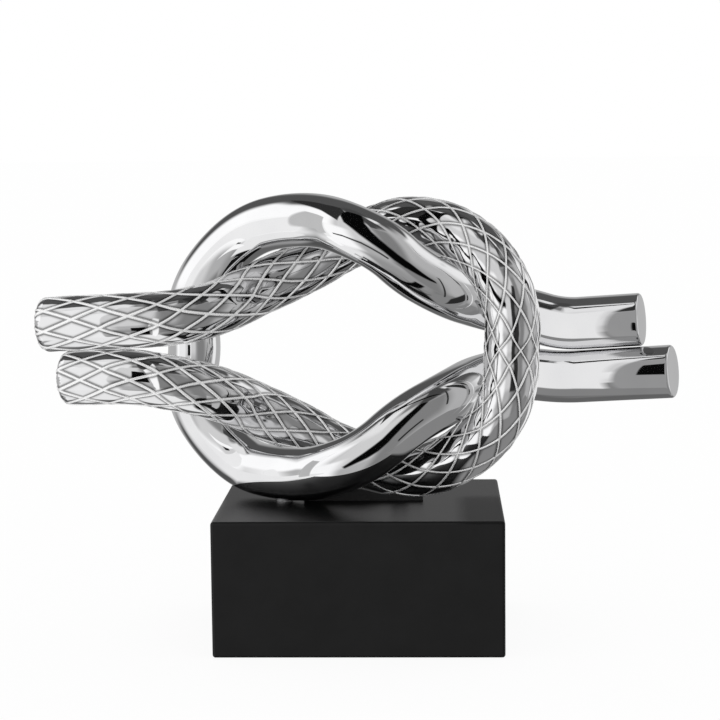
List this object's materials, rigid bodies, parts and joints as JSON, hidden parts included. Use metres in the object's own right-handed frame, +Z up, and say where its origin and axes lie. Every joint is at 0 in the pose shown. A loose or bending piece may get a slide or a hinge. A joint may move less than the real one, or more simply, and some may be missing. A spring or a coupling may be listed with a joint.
{
  "type": "knot sculpture",
  "caption": "Reef knot of a smooth and a diamond-textured mirror-plated bar on a matt black rectangular block, a tabletop ornament.",
  "frame": {"origin": "middle of the felt pad's underside, on the surface that the sculpture stands on", "axes": "+Z up, +X to the viewer's right along the knot, from the textured free ends to the smooth free ends, +Y away from the viewer"},
  "size_m": [0.4314, 0.16, 0.2988],
  "materials": {
    "polished_plating": "mirror-bright nickel plating",
    "lattice_plating": "mirror-bright nickel plating over a raised diamond lattice",
    "black_lacquer": "satin black lacquer",
    "black_steel": "matt black coating",
    "plain_steel": "zinc-plated steel",
    "black_felt": "black felt"
  },
  "bodies": {
    "root": {"base_block": "black_lacquer", "base_felt_pad": "black_felt", "smooth_strand": "polished_plating", "smooth_upper_end_cap": "polished_plating", "smooth_lower_end_cap": "polished_plating", "textured_strand": "lattice_plating", "textured_upper_end_cap": "lattice_plating", "textured_lower_end_cap": "lattice_plating", "saddle": "black_steel", "saddle_pins": "plain_steel", "smooth_mounting_boss": "plain_steel", "textured_mounting_boss": "plain_steel", "smooth_mounting_screw": "plain_steel", "textured_mounting_screw": "plain_steel", "smooth_flat_washer": "plain_steel", "textured_flat_washer": "plain_steel", "smooth_lock_washer": "plain_steel", "textured_lock_washer": "plain_steel", "upper_left_dowel": "plain_steel", "upper_right_dowel": "plain_steel", "lower_left_dowel": "plain_steel", "lower_right_dowel": "plain_steel"}
  },
  "joints": []
}
